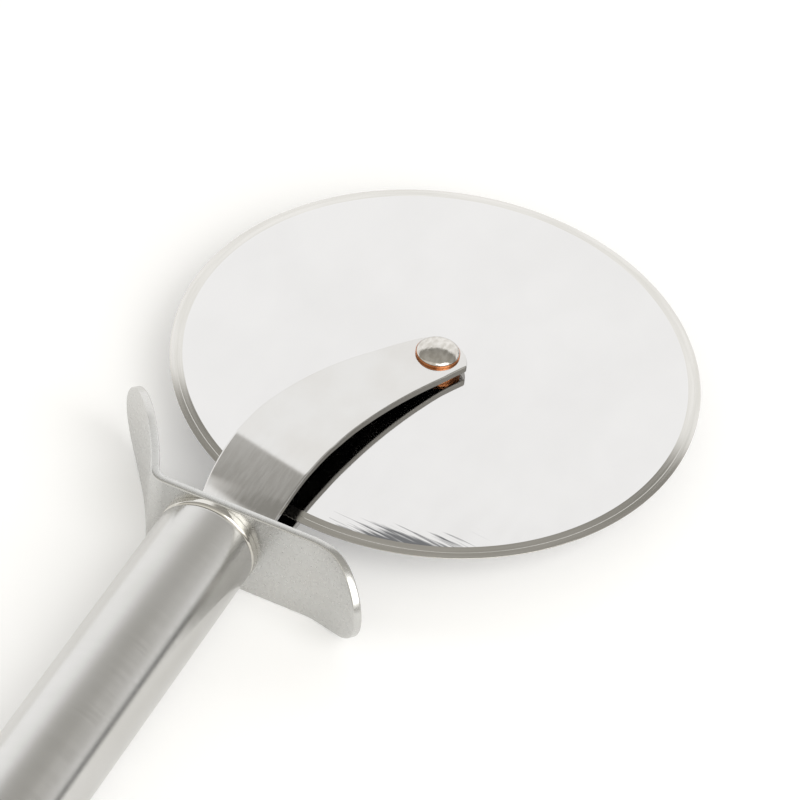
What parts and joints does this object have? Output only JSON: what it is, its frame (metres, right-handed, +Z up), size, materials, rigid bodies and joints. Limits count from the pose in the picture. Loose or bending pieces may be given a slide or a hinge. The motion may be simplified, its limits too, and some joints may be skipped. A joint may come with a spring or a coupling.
{
  "type": "pizza cutter wheel",
  "caption": "Pizza cutter with a sharpened steel wheel on a riveted axle, a cranked fork, a bent finger guard and a tubular steel handle.",
  "frame": {"origin": "on the ground under the handle's axis, in the middle of the guard sheet's lower edge, with the cutter lying on its side", "axes": "+X along the handle towards the wheel, +Y to the left of the handle, +Z up, square to the wheel's faces"},
  "size_m": [0.2423, 0.0999, 0.019],
  "materials": {
    "polished_steel": "mirror polished stainless steel",
    "sheet_steel": "smooth cold-rolled stainless sheet, lightly polished",
    "satin_steel": "satin stainless steel with polished edges",
    "brushed_steel": "stainless steel brushed round the tube",
    "rivet_steel": "bright steel with tool marks",
    "screw_steel": "plain stainless steel",
    "copper": "bare copper"
  },
  "bodies": {
    "cutter_body": {"axle_rivet": "rivet_steel", "axle_sleeve": "rivet_steel", "end_cap": "polished_steel", "finger_guard": "satin_steel", "fork": "sheet_steel", "fork_screw": "screw_steel", "front_plug": "polished_steel", "handle_tube": "brushed_steel", "lock_washer": "screw_steel", "lower_head_washer": "copper", "lower_spacer_washer": "copper", "upper_head_washer": "copper", "upper_spacer_washer": "copper"},
    "wheel": {"cutting_wheel": "polished_steel"}
  },
  "joints": [
    {"name": "wheel_spin", "type": "hinge", "parent": "cutter_body", "child": "wheel", "pos_m": [0.0608, -0.01635, 0.0095], "axis": [0, 0, 1], "continuous": true}
  ]
}
